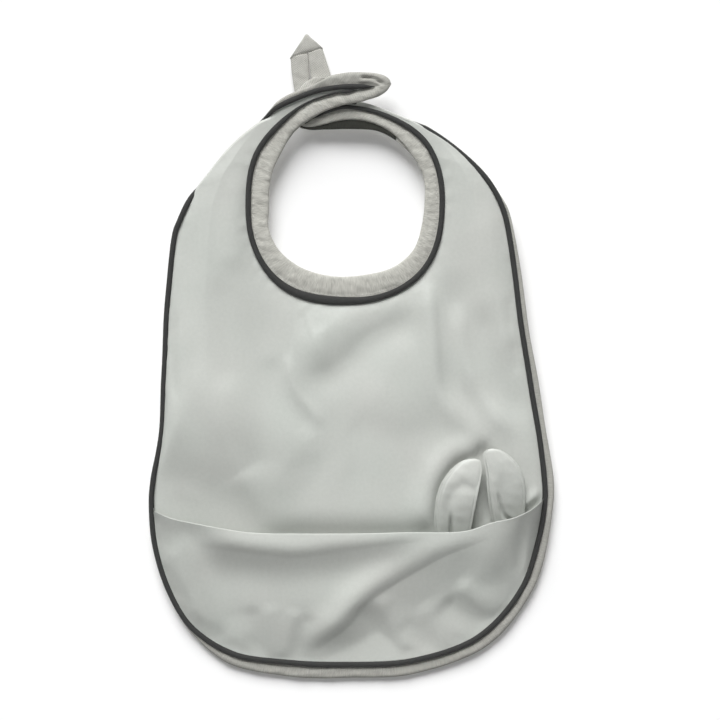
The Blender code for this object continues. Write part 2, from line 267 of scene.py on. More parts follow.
NECK = neck_curve(BODY_COLUMNS)
RIM = outer_curve(BODY_COLUMNS)
INNER = whole_path(LEFT_INNER, NECK, RIGHT_INNER)
OUTER = whole_path(LEFT_OUTER, RIM, RIGHT_OUTER)
COLUMNS = len(INNER)
SIDE = np.where(np.arange(COLUMNS) < BODY_MIDDLE, -1, 1)
NECK_AT_CUT = {-1: INNER[BODY_START], 1: INNER[BODY_END]}


def neck_band_rim():
    """The neck band's free edge along the body."""
    turn = np.degrees(np.arctan2(-NECK[:, 1], NECK[:, 0]))
    turn = np.where(turn < -90, turn + 360, turn)
    line = smooth_curve(tuple(zip(NECK_BAND_TURNS, NECK_BAND_EXTRA)), 4)
    return NECK + sideways(NECK) * (NECK_BAND_EDGE + np.interp(turn, line[:, 0], line[:, 1]))[:, None]


def body_band_width():
    """How far the outer band reaches past the piping's centreline, along the body."""
    left, right = (np.interp(RIM[:, 1], BAND_HEIGHTS, widths) for widths in (BAND_LEFT, BAND_RIGHT))
    return left + (right - left) * eased((RIM[:, 0] + 20.0) / 40.0)


NECK_RIM = neck_band_rim()
NECK_EDGE = whole_path(LEFT_RIM_LOW, NECK_RIM, RIGHT_RIM_LOW)
OUTER_EDGE = whole_path(LEFT_RIM_HIGH, RIM - sideways(RIM) * body_band_width()[:, None], RIGHT_RIM_HIGH)
INNER_TO_TIP = whole_path((*LEFT_INNER, LEFT_TIP), NECK, (*RIGHT_INNER[:-1], RIGHT_TIP))
OUTER_TO_TIP = whole_path(LEFT_OUTER, RIM, (*RIGHT_OUTER, RIGHT_TIP))


def rolled_edge():
    """How far the cloth's outer edge is rolled back over its piping at each column, from 0 to 1."""
    x, z = OUTER[:, 0], OUTER[:, 1]
    left = eased((-41.0 - x) / 13.0) * eased((x + 97.0) / 10.0) * (z > -40)
    shoulder = 0.66 + 0.34 * eased((50.0 - x) / 12.0)
    right = eased((x - 1.0) / 10.0) * shoulder * eased((97.0 - x) / 34.0) * (z > -40)
    return np.where(SIDE < 0, left, right)


ROLLED = rolled_edge()


def strap_lift(points, side):
    """How far forward a strap's point lies: the left strap leans forward and the right one back."""
    s = (points - NECK_AT_CUT[side]) @ cut_normal(side)
    bend = np.where(s > LEAN_STARTS, s, (s + LEAN_STARTS) ** 2 / (4 * LEAN_STARTS))
    return -side * STRAP_LEAN * np.where(s < -LEAN_STARTS, 0.0, bend)


def lift(points, sides):
    """strap_lift for points that each belong to one side of the bib."""
    return np.where(sides < 0, strap_lift(points, -1), strap_lift(points, 1))


# ---- folds
RUMPLE_WAVES = 14
FOLD_ENDS = 0.22  # the share of a fold's line over which each end fades


def rumple(points, wavelength, seed):
    """Smooth seeded noise of about that wavelength, mostly between -1 and 1."""
    rng = np.random.default_rng(seed)
    total = np.zeros(len(points))
    for _ in range(RUMPLE_WAVES):
        angle, phase = rng.uniform(0, 2 * math.pi, 2)
        size = wavelength * rng.uniform(0.7, 1.6)
        along = points @ np.array([math.cos(angle), math.sin(angle)])
        total += np.sin(2 * math.pi * along / size + phase)
    return total / math.sqrt(RUMPLE_WAVES)


def puckers(points, edge, size, seed):
    """Short puckers beside a seam that lies edge millimetres away."""
    return size * rumple(points, 10.0, seed) * falloff(edge, 6.0) * buildup(edge, 1.5)


def distance_to(points, line):
    """Each point's distance to the curve, positive on its left side, and how far along it, from 0 to 1."""
    along = lengths_along(line)
    best = np.full(len(points), 1e9)
    share, sign = np.zeros(len(points)), np.ones(len(points))
    for k, (a, b) in enumerate(zip(line, line[1:])):
        d = b - a
        off = points - a
        t = np.clip(off @ d / (d @ d), 0, 1)
        away = np.linalg.norm(off - t[:, None] * d, axis=1)
        nearer = away < best
        best = np.where(nearer, away, best)
        share = np.where(nearer, (along[k] + t * (along[k + 1] - along[k])) / along[-1], share)
        sign = np.where(nearer, np.sign(d[0] * off[:, 1] - d[1] * off[:, 0]), sign)
    return best * sign, share


def folded(points, folds):
    """Height of all folds at the points.

    A fold is (line, width, size), a ridge or a valley, or (line, left width, right width, size), a step that
    is high on one side of the line and low on the other. Both fade at their ends. A width or a size may be
    a pair, for the line's start and its end.
    """
    height = np.zeros(len(points))
    for line, *widths, size in folds:
        away, share = distance_to(points, smooth_curve(line, 5))
        width, other, size = (np.interp(share, (0, 1), v) if isinstance(v, tuple) else v
                              for v in (widths[0], widths[-1], size))
        fade = eased(share / FOLD_ENDS) * eased((1 - share) / FOLD_ENDS)
        if len(widths) == 1:
            height += size * fade * bell(away, width)
        else:
            reach = away / np.where(away > 0, width, other)
            height += size * fade * reach * np.exp(0.5 - reach**2 / 2)
    return height


PANEL_FOLDS = (
    (((-32, -97), (-14, -96), (-4, -88), (8, -77), (20, -70), (46, -58)), 14, 10, 1.7),
    (((-38, -88), (-35, -104), (-30, -116), (-20, -128), (-13, -137)), 3, 6, 0.8),
    (((-24, -62), (-14, -77)), 7, -0.4),
    (((-34, -84), (-8, -86)), 10, 0.4),
    (((53, -38), (56, -60), (58, -86), (60, -108), (70, -124), (80, -140)), 10, 6, -1.8),
    (((72, -56), (76, -88), (85, -112), (108, -140)), 9, 6, -1.5),
    (((84, 6), (88, -34), (93, -70), (99, -104)), 9, 1.1),
    (((98, -56), (100, -76)), 3.5, -0.45),
    (((100, -82), (104, -102)), 3.5, -0.45),
    (((-134, -158), (-104, -157), (-84, -160), (-66, -167), (-50, -178), (-30, -190)), 24, 24, 2.2),
    (((-112, -176), (-98, -173), (-82, -180)), 5, 0.6),
    (((-104, -120), (-84, -126), (-62, -136), (-46, -150), (-40, -164)), 16, 13, 1.2),
    (((-84, -8), (-90, -56), (-92, -96), (-93, -126)), 8, 0.8),
    (((-74, -40), (-72, -80), (-70, -116)), 8, -0.8),
    (((-101, -62), (-103, -80), (-103, -96), (-102, -122)), 3, -1),
    (((-99, -140), (-99, -96), (-98, -60), (-95, -10)), 6, 7, 0.7),
    (((-60, 22), (-66, -10), (-68, -44)), 9, 1),
    (((-16, -60), (4, -58), (24, -50)), 12, -0.8),
    (((4, -120), (30, -130), (60, -124)), 15, 12, 0.7),
    (((-4, -158), (30, -164), (50, -156)), 16, -0.8),
    (((83, -206), (84.5, -180), (83.5, -160), (82, -138)), 5.5, -3.4),
    (((98, -190.3), (103, -187), (108, -183.6), (113, -180.2), (118.8, -176.4), (123, -173.5)), 1, -6),
    (((98, -186), (103, -182.6), (108, -179.2), (113, -175.8), (118.8, -172)), 2.2, 1.4),
    (((53.5, -204), (52.5, -186), (56, -169), (64.5, -155.5), (75, -150), (80, -146), (84, -142)), 6, 3.5, 1.7),
    (((88, -204), (86.5, -184), (83.5, -166), (80, -150)), 5, 4, 1.6),
)

POCKET_FOLDS = (
    (((96, -196), (86, -200), (60, -210), (44, -219), (24, -231), (13, -240), (1, -254), (-15, -266), (-28, -275)),
     20, 8, (-1.2, -3.1)),
    (((-98, -203), (-52, -209), (-27, -211), (0, -207), (30, -203), (62, -199)), 8, 13, 1.9),
    (((14, -234), (22, -250), (34, -276)), 6, 7, 0.9),
    (((62, -230), (76, -241), (94, -251)), 7, 8, 1.2),
    (((102, -190), (95, -208), (84, -232)), 7, 8, -0.4),
    (((-106, -192), (-91, -206), (-79, -232), (-71, -264)), 10, 12, -1.5),
    (((-112, -200), (-98, -225), (-84, -254)), 5, 0.6),
    (((-92, -252), (-70, -262)), 5, -0.4),
    (((-51, -238), (-49, -254), (-47, -276)), 5, 5, 0.5),
    (((-24, -242), (-30, -258), (-34, -277)), 5, 5, -0.5),
    (((38, -244), (50, -258), (60, -274)), 8, 8, 0.6),
    (((110, -178), (108, -200), (106, -226)), 2.5, 3, 0.8),
)


# ---- meshes
def tube_quads(rings, rows):
    """Quads between rings of rows vertices each, joined in a row."""
    c, r = np.meshgrid(np.arange(rings - 1), np.arange(rows), indexing="ij")
    after = (r + 1) % rows
    quads = np.stack([c * rows + r, (c + 1) * rows + r, (c + 1) * rows + after, c * rows + after], axis=-1)
    return quads.reshape(-1, 4)


def closed_tube(rings, rows, first=0):
    """The same quads from vertex first on, with a face that closes each end."""
    last = first + (rings - 1) * rows
    ends = [list(range(first, first + rows))[::-1], list(range(last, last + rows))]
    return (tube_quads(rings, rows) + first).tolist() + ends


def place(points, depth):
    """(x, z) points and depths in millimetres as positions in metres."""
    return np.stack([points[:, 0], -np.asarray(depth), points[:, 1]], axis=1) * MM


def read_layer(data, key, width):
    """A mesh layer's numbers, as rows of that width."""
    values = np.zeros(len(data) * width, np.float32)
    data.foreach_get(key, values)
    return values.reshape(-1, width)


def new_mesh(name, positions, faces):
    mesh = bpy.data.meshes.new(name)
    mesh.from_pydata(positions.tolist(), [], faces)
    return mesh


def mesh_piece(name, positions, faces, cloth, fabric, normals=None):
    """A smooth mesh object. cloth is each vertex's place on the flat fabric, which its weave follows."""
    material, slot = MATERIALS[fabric]
    mesh = new_mesh(name, positions, faces)
    mesh.materials.append(material)
    mesh.shade_smooth()
    flat = np.zeros((len(positions), 3), np.float32)
    flat[:, :2] = cloth * MM
    mesh.attributes.new("cloth", "FLOAT_VECTOR", "POINT").data.foreach_set("vector", flat.ravel())
    if normals is not None:
        mesh.normals_split_custom_set_from_vertices(normals.tolist())
    obj = bpy.data.objects.new(name, mesh)
    bpy.context.scene.collection.objects.link(obj)
    return obj


def vertex_normals(positions, faces):
    """Smooth normals of a mesh, for its parts to keep after it is split."""
    mesh = new_mesh("whole", positions, faces.tolist())
    normals = read_layer(mesh.vertex_normals, "vector", 3)
    bpy.data.meshes.remove(mesh)
    return normals


BEND = {-1: (-10.0, 12.0), 1: (-14.0, 22.0)}  # where each strap's bend starts and ends, past its cut
RIGHT_HALF_X = 31.0


def blend_at_cut(obj, side):
    """Bends the piece from the body into its strap."""
    start, end = (place((NECK_AT_CUT[side] + cut_normal(side) * s)[None], [0.0])[0] for s in BEND[side])
    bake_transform(obj, "root", "left_strap" if side < 0 else "right_strap", start=tuple(start), end=tuple(end))
    if side < 0:
        quiet_far_side(obj)


def quiet_far_side(obj):
    """Keeps the right half of the body still: it lies past the left cut's line, but not on the left strap."""
    weights = obj.data.attributes["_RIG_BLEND"].data
    values = read_layer(weights, "value", 1)[:, 0]
    values[read_layer(obj.data.vertices, "co", 3)[:, 0] > RIGHT_HALF_X * MM] = 0.0
    weights.foreach_set("value", values)


def volume_of(positions, faces):
    """Signed volume: negative when the faces point inward."""
    a, b, c, d = (positions[faces[:, k]] for k in range(4))
    return (np.cross(b - a, c - a) * a).sum() + (np.cross(c - a, d - a) * a).sum()


def split_pieces(name, positions, cloth, rows, fabric, nodes, ghost=None):
    """A ring swept along the whole path, as two objects that meet at the right shoulder.

    The first bends into the left strap and the second into the right one. ghost is the ring of another
    piece that continues past the left tip, so that the two look like one.
    """
    count = len(positions) // rows
    inside_out = volume_of(positions, tube_quads(count, rows)) < 0
    longer = positions if ghost is None else np.vstack([ghost, positions])
    whole = tube_quads(len(longer) // rows, rows)
    normals = vertex_normals(longer, whole[:, ::-1] if inside_out else whole)[-len(positions):]
    for side, start, stop in ((-1, 0, SEAM_COLUMN + 1), (1, SEAM_COLUMN, count)):
        keep = slice(start * rows, stop * rows)
        faces = closed_tube(stop - start, rows)
        if inside_out:
            faces = [face[::-1] for face in faces]
        label = name if side < 0 else f"{name}_right"
        obj = mesh_piece(label, positions[keep], faces, cloth[keep], fabric, normals[keep])
        blend_at_cut(obj, side)
        if side < 0:
            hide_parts(*nodes)


class Shells:
    """Several closed shells, gathered into one object."""

    def __init__(self):
        self.positions, self.faces, self.cloth = [], [], []

    def add_tube(self, positions, rows, cloth):
        """Rings of rows points each, joined in a row and closed at both ends."""
        self.faces += closed_tube(len(positions) // rows, rows, sum(len(p) for p in self.positions))
        self.positions.append(positions)
        self.cloth.append(cloth)

    def piece(self, name, fabric, nodes=()):
        obj = mesh_piece(name, np.vstack(self.positions), self.faces, np.vstack(self.cloth), fabric)
        outward(obj)
        if nodes:
            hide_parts(*nodes)
        return obj


def outward(obj):
    """Turns every shell's faces outward."""
    bm = bmesh.new()
    bm.from_mesh(obj.data)
    bmesh.ops.recalc_face_normals(bm, faces=bm.faces)
    bm.to_mesh(obj.data)
    bm.free()


# ---- materials
MIX_COLOURS, MIX_RESULT = (6, 7), 2  # the Mix node's sockets when it mixes colours


class Shader:
    """A Principled material and a short way to add nodes to it."""

    def __init__(self, name, roughness, **settings):
        self.material = bpy.data.materials.new(name)
        self.material.use_nodes = True
        self.tree = self.material.node_tree
        self.surface = self.tree.nodes["Principled BSDF"]
        self.surface.inputs["Roughness"].default_value = roughness
        for socket, value in settings.items():
            self.surface.inputs[socket.replace("_", " ")].default_value = value

    def add(self, kind, *inputs, **settings):
        """Adds a node. Each input is a value, another node's output, or None to leave it alone."""
        made = self.tree.nodes.new(kind)
        for key, value in settings.items():
            setattr(made, key, value)
        for socket, value in zip(made.inputs, inputs):
            self.put(socket, value)
        return made

    def put(self, socket, value):
        if isinstance(value, bpy.types.NodeSocket):
            self.tree.links.new(value, socket)
        elif value is not None:
            socket.default_value = value

    def maths(self, operation, *inputs):
        return self.add("ShaderNodeMath", *inputs, operation=operation).outputs[0]

    def cloth(self, scale=1.0, turn=0.0, stretch=(1.0, 1.0)):
        """The fabric's own flat coordinates, in millimetres divided by scale."""
        flat = self.add("ShaderNodeAttribute", attribute_name="cloth").outputs["Vector"]
        size = 1 / (MM * scale)
        sizes = (size * stretch[0], size * stretch[1], size)
        return self.add("ShaderNodeMapping", flat, None, (0, 0, math.radians(turn)), sizes).outputs[0]

    def axes(self, vector):
        """The vector's X and Y."""
        return self.add("ShaderNodeSeparateXYZ", vector).outputs[:2]

    def noise(self, vector, detail=3.0, roughness=0.5):
        return self.add("ShaderNodeTexNoise", vector, None, 1.0, detail, roughness).outputs[0]

    def ramp(self, value, *stops):
        """A colour ramp. Each stop is a place and a colour."""
        made = self.add("ShaderNodeValToRGB", value)
        for element, (where, colour) in zip(made.color_ramp.elements, stops):
            element.position = where
            element.color = (*colour, 1.0)
        return made.outputs[0]

    def mix(self, share, *colours):
        made = self.add("ShaderNodeMix", share, data_type="RGBA")
        for socket, colour in zip(MIX_COLOURS, colours):
            self.put(made.inputs[socket], (*colour, 1.0) if isinstance(colour, tuple) else colour)
        return made.outputs[MIX_RESULT]

    def weave(self, pitch, turn=0.0):
        """Height of a plain weave, and which of its threads lies on top: 1 for warp and 0 for weft."""
        flat = self.cloth(pitch, turn)
        u, v = (self.maths("SINE", self.maths("MULTIPLY", axis, math.pi)) for axis in self.axes(flat))
        over = self.maths("MULTIPLY_ADD", self.maths("MULTIPLY", u, v), 3.0, 0.5)
        top = self.add("ShaderNodeClamp", over).outputs[0]
        warp, weft = self.maths("ABSOLUTE", u), self.maths("ABSOLUTE", v)
        high = self.maths("ADD", self.maths("MULTIPLY", warp, top),
                          self.maths("MULTIPLY", weft, self.maths("SUBTRACT", 1.0, top)))
        return high, top

    def finish(self, colour, *bumps):
        """Joins the colour and the bumps, each a height, a strength and a depth in millimetres."""
        self.put(self.surface.inputs["Base Color"], colour)
        normal = None
        for height, strength, depth in bumps:
            bump = self.tree.nodes.new("ShaderNodeBump")
            inputs = {"Strength": strength, "Distance": depth * MM, "Height": height, "Normal": normal}
            for socket, value in inputs.items():
                self.put(bump.inputs[socket], value)
            normal = bump.outputs["Normal"]
        self.put(self.surface.inputs["Normal"], normal)
        return self.material


def coated_fabric():
    """Pale sage cloth with a thin satin coating: a fine weave shows through, and the film crinkles a little."""
    s = Shader("coated_fabric", 0.46, Sheen_Weight=0.08, Sheen_Roughness=0.4)
    high = s.weave(0.42)[0]
    patches = s.noise(s.cloth(60.0), 2.0)
    tint = s.ramp(patches, (0.3, (0.474, 0.497, 0.464)), (0.7, (0.506, 0.515, 0.486)))
    mottle = s.noise(s.cloth(2.2), 4.0, 0.6)
    tint = s.mix(0.10, tint, s.ramp(mottle, (0.35, (0.40, 0.43, 0.39)), (0.65, (0.66, 0.68, 0.64))))
    tint = s.mix(s.maths("MULTIPLY", high, 0.10), tint, (0.68, 0.70, 0.66))
    crinkle = s.noise(s.cloth(3.0), 5.0, 0.55)
    s.put(s.surface.inputs["Roughness"], s.maths("MULTIPLY_ADD", crinkle, 0.16, 0.38))
    return s.finish(tint, (high, 0.25, 0.04), (crinkle, 0.22, 0.25))


def chambray(name, pitch):
    """Light grey cloth with a darker warp and a pale weft, uneven in thickness."""
    s = Shader(name, 0.88, Sheen_Weight=0.25, Sheen_Roughness=0.5)
    high, top = s.weave(pitch)
    warp_slub, weft_slub = (s.noise(s.cloth(pitch, 0.0, stretch), 2.0) for stretch in ((1.2, 0.09), (0.09, 1.2)))
    warp = s.ramp(warp_slub, (0.3, (0.24, 0.238, 0.215)), (0.7, (0.44, 0.435, 0.40)))
    weft = s.ramp(weft_slub, (0.3, (0.54, 0.535, 0.495)), (0.7, (0.74, 0.735, 0.69)))
    patches = s.noise(s.cloth(14.0), 3.0)
    blotches = s.ramp(patches, (0.3, (0.40, 0.395, 0.36)), (0.7, (0.53, 0.525, 0.485)))
    tint = s.mix(0.35, s.mix(top, weft, warp), blotches)
    lumps = s.maths("ADD", warp_slub, weft_slub)
    return s.finish(tint, (high, 0.6, 0.16), (lumps, 0.35, 0.2), (patches, 0.3, 0.5))


def piping_tape():
    """Charcoal tape cut on the bias, so that its weave runs slantwise round the cord."""
    s = Shader("piping_tape", 0.78, Sheen_Weight=0.1, Sheen_Roughness=0.35)
    high = s.weave(0.5, 45.0)[0]
    slub = s.noise(s.cloth(0.5, 45.0, (1.1, 0.1)), 2.0)
    tint = s.ramp(slub, (0.3, (0.009, 0.010, 0.010)), (0.75, (0.020, 0.020, 0.019)))
    tint = s.mix(s.maths("MULTIPLY", high, 0.35), tint, (0.032, 0.032, 0.030))
    patches = s.noise(s.cloth(9.0), 3.0)
    return s.finish(tint, (high, 0.7, 0.14), (patches, 0.35, 0.5))


def ribbed(name, pitch, turn, dark, light):
    """Grey cloth with uneven ribs, turned from the line square to its edge."""
    s = Shader(name, 0.9, Sheen_Weight=0.2, Sheen_Roughness=0.5)
    straight = s.axes(s.cloth(pitch, turn))[0]
    wander = s.noise(s.cloth(4.0), 3.0)
    along = s.maths("ADD", straight, s.maths("MULTIPLY", wander, 1.3))
    ribs = s.maths("MULTIPLY_ADD", s.maths("SINE", s.maths("MULTIPLY", along, 2 * math.pi)), 0.5, 0.5)
    slub = s.noise(s.cloth(pitch, turn, (1.3, 0.22)), 3.0, 0.6)
    depth = s.maths("MULTIPLY_ADD", slub, 1.1, s.maths("MULTIPLY", ribs, 0.24))
    tint = s.ramp(depth, (0.35, dark), (1.0, light))
    patches = s.noise(s.cloth(9.0), 4.0, 0.6)
    middle = tuple((a + b) / 2 for a, b in zip(dark, light))
    tint = s.mix(s.maths("MULTIPLY", patches, 0.5), tint, middle)
    return s.finish(tint, (depth, 0.6, 0.35), (patches, 0.35, 0.8))


def dark_facing_and_shade():
    """Dark olive twill, with slanting ribs, its colour darkened further as painted shade for the shadow below the
    right strap.
    """
    s = Shader("dark_facing_and_shade", 0.85, Sheen_Weight=0.03)
    high = s.weave(0.8, 30.0)[0]
    slub = s.noise(s.cloth(0.7, 30.0, (1.4, 0.2)), 3.0)
    # very dark colours: partly the facing's own, partly painted shade for the shadow under the strap
    tint = s.ramp(slub, (0.3, (0.006, 0.007, 0.004)), (0.7, (0.020, 0.020, 0.014)))
    return s.finish(tint, (high, 0.6, 0.2))


def thread(name, colour):
    """Twisted sewing thread."""
    s = Shader(name, 0.7, Sheen_Weight=0.2)
    twist = s.noise(s.cloth(0.25, 30.0, (1.0, 0.2)), 2.0)
    dark = tuple(0.72 * c for c in colour)
    return s.finish(s.ramp(twist, (0.3, dark), (0.7, colour)), (twist, 0.6, 0.08))


def fastening_tape(name, fluffy):
    """Hook tape with rows of stiff hooks, or loop tape with a fluffy pile."""
    s = Shader(name, 0.8, Sheen_Weight=0.4)
    pile = s.noise(s.cloth(0.5), 5.0, 0.7) if fluffy else s.weave(1.1)[0]
    tint = s.ramp(pile, (0.25, (0.42, 0.42, 0.39)), (0.75, (0.70, 0.70, 0.66)))
    return s.finish(tint, (pile, 0.9, 0.5))


# each material and the slot of the pieces made of it
MATERIALS = {
    "coated": (coated_fabric(), "coated_fabric"),
    "band": (ribbed("band_fabric", 0.7, 50.0, (0.235, 0.233, 0.209), (0.70, 0.695, 0.638)), "band_fabric"),
    # the outer band: the neck band's grey cloth, given darker colours
    "edge": (ribbed("edge_fabric", 0.7, 40.0, (0.23, 0.228, 0.206), (0.52, 0.515, 0.474)), "band_fabric"),
    "facing": (dark_facing_and_shade(), "lining_fabric"),
    "tape": (chambray("tape_fabric", 0.62), "band_fabric"),
    "lining": (ribbed("lining_fabric", 1.3, 90.0, (0.38, 0.378, 0.348), (0.56, 0.555, 0.515)), "lining_fabric"),
    "piping": (piping_tape(), "piping_tape"),
    "thread": (thread("pale_thread", (0.62, 0.61, 0.58)), "band_fabric"),
    "hook": (fastening_tape("hook_tape_fabric", False), "fastening_tape"),
    "loop": (fastening_tape("loop_tape_fabric", True), "fastening_tape"),
}


# ---- body cloth
ROLL_RADIUS = 1.6
ROLL_REACH = 30.0  # past this distance from the edge, the roll no longer moves the cloth
FRONT_ROWS = 84
EDGE_CROWDING = 0.10  # how much closer together the rows lie near the panel's two edges
FRONT_THICKNESS = 0.45
PANEL_FOLD_GAIN = 1.15
FRONT_PUFFS = ((1.5, 9.0), (2.6, 38.0))  # how far the front stands out, and how soon past its edge
LEFT_SLACK = 4.6  # how much further its left side stands out
SLACK_HEIGHT, SLACK_SPREAD = 60.0, 150.0  # where that is most, above the mouth, and how far up it reaches
BEHIND_POCKET = 0.3  # the front's depth behind the pocket


def rolled(e, radius):
    """Where the cloth at distance e from its edge lies once the edge is rolled back: inward and depth."""
    turn = math.pi * radius
    angle = np.pi * np.clip(1 - e / turn, 0, 1)
    stretch = (ROLL_REACH - radius) / np.maximum(ROLL_REACH - turn, 1.0)
    flat = np.where(e < ROLL_REACH, radius + (e - turn) * stretch, e)
    inward = np.where(e < turn, radius * (1 - np.sin(angle)), flat)
    return inward, -radius * (1 - np.cos(angle))


def mouth_height(x):
    line = smooth_curve(MOUTH, 4)
    return np.interp(x, line[:, 0], line[:, 1])


def panel_height(points, from_neck, from_edge):
    """How far the coated front stands out: puffed, folded, and puckered at its seams."""
    edge = np.minimum(from_neck, from_edge)
    height = sum(size * buildup(edge, reach) for size, reach in FRONT_PUFFS)
    height += PANEL_FOLD_GAIN * folded(points, PANEL_FOLDS) * buildup(edge, 6.0)
    height += 0.30 * rumple(points, wavelength=52.0, seed=3) * buildup(edge, 10.0)
    height += puckers(points, edge, 0.26, seed=5)
    left = eased((-46.0 - points[:, 0]) / 30.0)
    right = eased((points[:, 0] - 92.0) / 12.0)
    above = points[:, 1] - mouth_height(points[:, 0])
    away = abs(above - SLACK_HEIGHT) * np.where(above > SLACK_HEIGHT, 1.0, 2.0)
    slack = eased((SLACK_SPREAD - away) / SLACK_SPREAD)
    height += LEFT_SLACK * left * slack * buildup(edge, 16.0)
    # the front sinks behind the pocket, from a line above the mouth: high on the left, low on the right
    start = 15.0 + 42.0 * left - 12.0 * right
    behind = np.clip((start - above) / (start + 1.5), 0, 1) ** (2.0 - 0.6 * left)
    height = height * (1 - behind) + BEHIND_POCKET * behind
    return above_floor(height, 0.2, 0.16) - 0.2


def above_floor(height, floor, softness):
    """The height, or the floor where that is higher, with a soft turn between them."""
    return 0.5 * (height + floor + np.sqrt((height - floor) ** 2 + softness))


def build_front():
    """The coated front as a thin closed sheet, from one strap's tip to the other's."""
    rows = FRONT_ROWS
    share = np.linspace(0, 1, rows)
    share -= EDGE_CROWDING * np.sin(2 * math.pi * share) / (2 * math.pi)
    span = OUTER - INNER
    width = np.linalg.norm(span, axis=1)
    flat = across(INNER, span, share)
    e = width[:, None] * (1 - share[None])
    radius = np.minimum(ROLL_RADIUS, width / 5.5)[:, None]
    reach = np.minimum(1.0, width / (ROLL_REACH + 4.0))[:, None]
    inward, drop = rolled(e / reach, radius / reach)
    inward, drop = inward * reach, drop * reach
    roll = ROLLED[:, None]
    moved = e * (1 - roll) + inward * roll
    points = across(INNER, span, 1 - moved / width[:, None])
    flat_points = flat.reshape(-1, 2)
    height = panel_height(flat_points, (width[:, None] * share).ravel(), e.ravel())
    small = np.repeat(np.minimum(1.0, width / 30.0), rows)
    sides = np.repeat(SIDE, rows)
    points = points.reshape(-1, 2)
    depth = 0.1 + height * small + (drop * roll).ravel() + lift(points, sides)
    thickness = FRONT_THICKNESS * np.cos(np.clip(1 - e / (math.pi * radius), 0, 1) * np.pi * roll)
    front = place(points, depth).reshape(COLUMNS, rows, 3)
    back = place(points, depth - thickness.ravel()).reshape(COLUMNS, rows, 3)
    ring = np.concatenate([front, back[:, ::-2]], axis=1)
    cloth = np.concatenate([flat, flat[:, ::-2]], axis=1)
    split_pieces("front_cloth", ring.reshape(-1, 3), cloth.reshape(-1, 2), ring.shape[1], "coated",
                 ("front_panel", "left_strap_face", "right_strap_face"))


# ---- pipings and bands
def swept(start, reach, base, profile, thick=None, wave=None, front=None):
    """Rings of a profile along the whole path: shares of reach, and depths in millimetres."""
    k = len(profile)
    thick = np.ones(COLUMNS) if thick is None else thick
    points = across(start, reach, profile[:, 0]).reshape(-1, 2)
    depth = (base[:, None] + thick[:, None] * profile[None, :, 1]).ravel()
    depth = depth + lift(points, np.repeat(SIDE, k))
    if wave is not None:
        depth = depth + wave(points) * np.tile(np.ones(k) if front is None else front, COLUMNS)
    ring = np.stack([np.linalg.norm(reach, axis=1).mean() * profile[:, 0], profile[:, 1]], axis=1)
    cloth = np.stack([np.repeat(lengths_along(start), k), np.tile(lengths_along(ring), COLUMNS)], axis=1)
    return place(points, depth), cloth


PIPING_SIDES, THREAD_SIDES = 14, 6
PIPING_GROWTH = 1.45  # how much thicker the tape is along the bib than at its tips
PIPING_DEEPEST = 1.7  # where it is thicker, it is only wider
TUCK_SHIFT = 1.7  # how far inward a rolled edge takes its piping and its band
PIPING_TUCK, BAND_TUCK = -2.7, -2.9  # and how deep they then lie


def circle(sides):
    """A round profile, starting at the back."""
    a = np.linspace(0, 2 * math.pi, sides, endpoint=False) - math.pi / 2
    return np.stack([np.cos(a), np.sin(a)], axis=1)


def piping(name, line, radius, tucked, nodes):
    """Tape round its cord. tucked says how far it is hidden behind a rolled edge, from 0 to 1."""
    side = sideways(line)
    along = lengths_along(line)
    wander = 0.18 * np.sin(along / 17.0) + 0.12 * np.sin(along / 7.3 + 1.0)
    base = PIPING_DEPTH * (1 - tucked) + PIPING_TUCK * tucked + 0.4 * wander
    start = line + side * (TUCK_SHIFT * tucked + wander)[:, None]
    profile = circle(PIPING_SIDES)
    tape = swept(start, side * radius[:, None], base, profile, thick=np.minimum(radius, PIPING_DEEPEST))
    split_pieces(name, *tape, len(profile), "piping", nodes)


def build_pipings():
    column = np.arange(COLUMNS)
    ends = eased((column + 1) / 10.0) * eased((COLUMNS - column) / 16.0)
    on_strap = eased((BODY_START - 8 - column) / 34.0) * eased((column - 2) / 12.0)
    outer_radius = 0.2 + PIPING_GROWTH * ends - 0.1 * on_strap
    # thinner where it dives under the left strap's root
    outer_radius -= 0.5 * bell(OUTER[:, 0] + 49.0, 8.0) * (OUTER[:, 1] > 40)
    neck_radius = 0.25 + PIPING_GROWTH * ends - 1.1 * on_strap - 0.5 * eased((column - BODY_END - 4) / 30.0)
    # thicker at the bottom of the neck
    neck_radius += 1.0 * bell(INNER[:, 0] + 14.0, 30.0) * eased((-25.0 - INNER[:, 1]) / 25.0)
    piping("outer_piping_tape", OUTER, outer_radius, ROLLED,
           ("outer_piping", "outer_piping_cord", "left_strap_piping", "left_strap_piping_cord"))
    piping("neck_piping_tape", INNER, neck_radius, 0 * ROLLED,
           ("neck_piping", "neck_piping_cord", "right_strap_piping", "right_strap_piping_cord"))


# a band's section, from its seam over the front to its free edge and back behind
BAND_PROFILE = smooth_curve((
    (0, -1.9), (0, -0.6), (0.02, 0.15), (0.12, 0.35), (0.24, 0.45), (0.34, 0.72), (0.55, 0.92), (0.75, 0.92),
    (0.9, 0.62), (0.985, 0), (1, -0.7), (0.97, -1.25), (0.86, -1.5), (0.5, -1.6), (0.2, -1.6), (0.03, -1.6),
), 2)[:-1]


TIP_CREASE = ((9.8, 75.3), (13, 75.4), (16.8, 74.9), (19.6, 73.7), (21.9, 72))


def band_wave(points):
    """Puckers across a band, and the crease in the left strap's tip."""
    away, share = distance_to(points, smooth_curve(TIP_CREASE, 5))
    away = abs(away)
    groove = -1.5 * bell(away, 0.55) * eased(share / 0.15) + 0.5 * bell(away - 2.0, 1.3)
    near_tip = (points[:, 1] > 60) & (points[:, 0] > 0)
    ripples = 0.16 * rumple(points, wavelength=5.0, seed=21) + 0.14 * rumple(points, wavelength=17.0, seed=22)
    return ripples + np.where(near_tip, groove, 0)


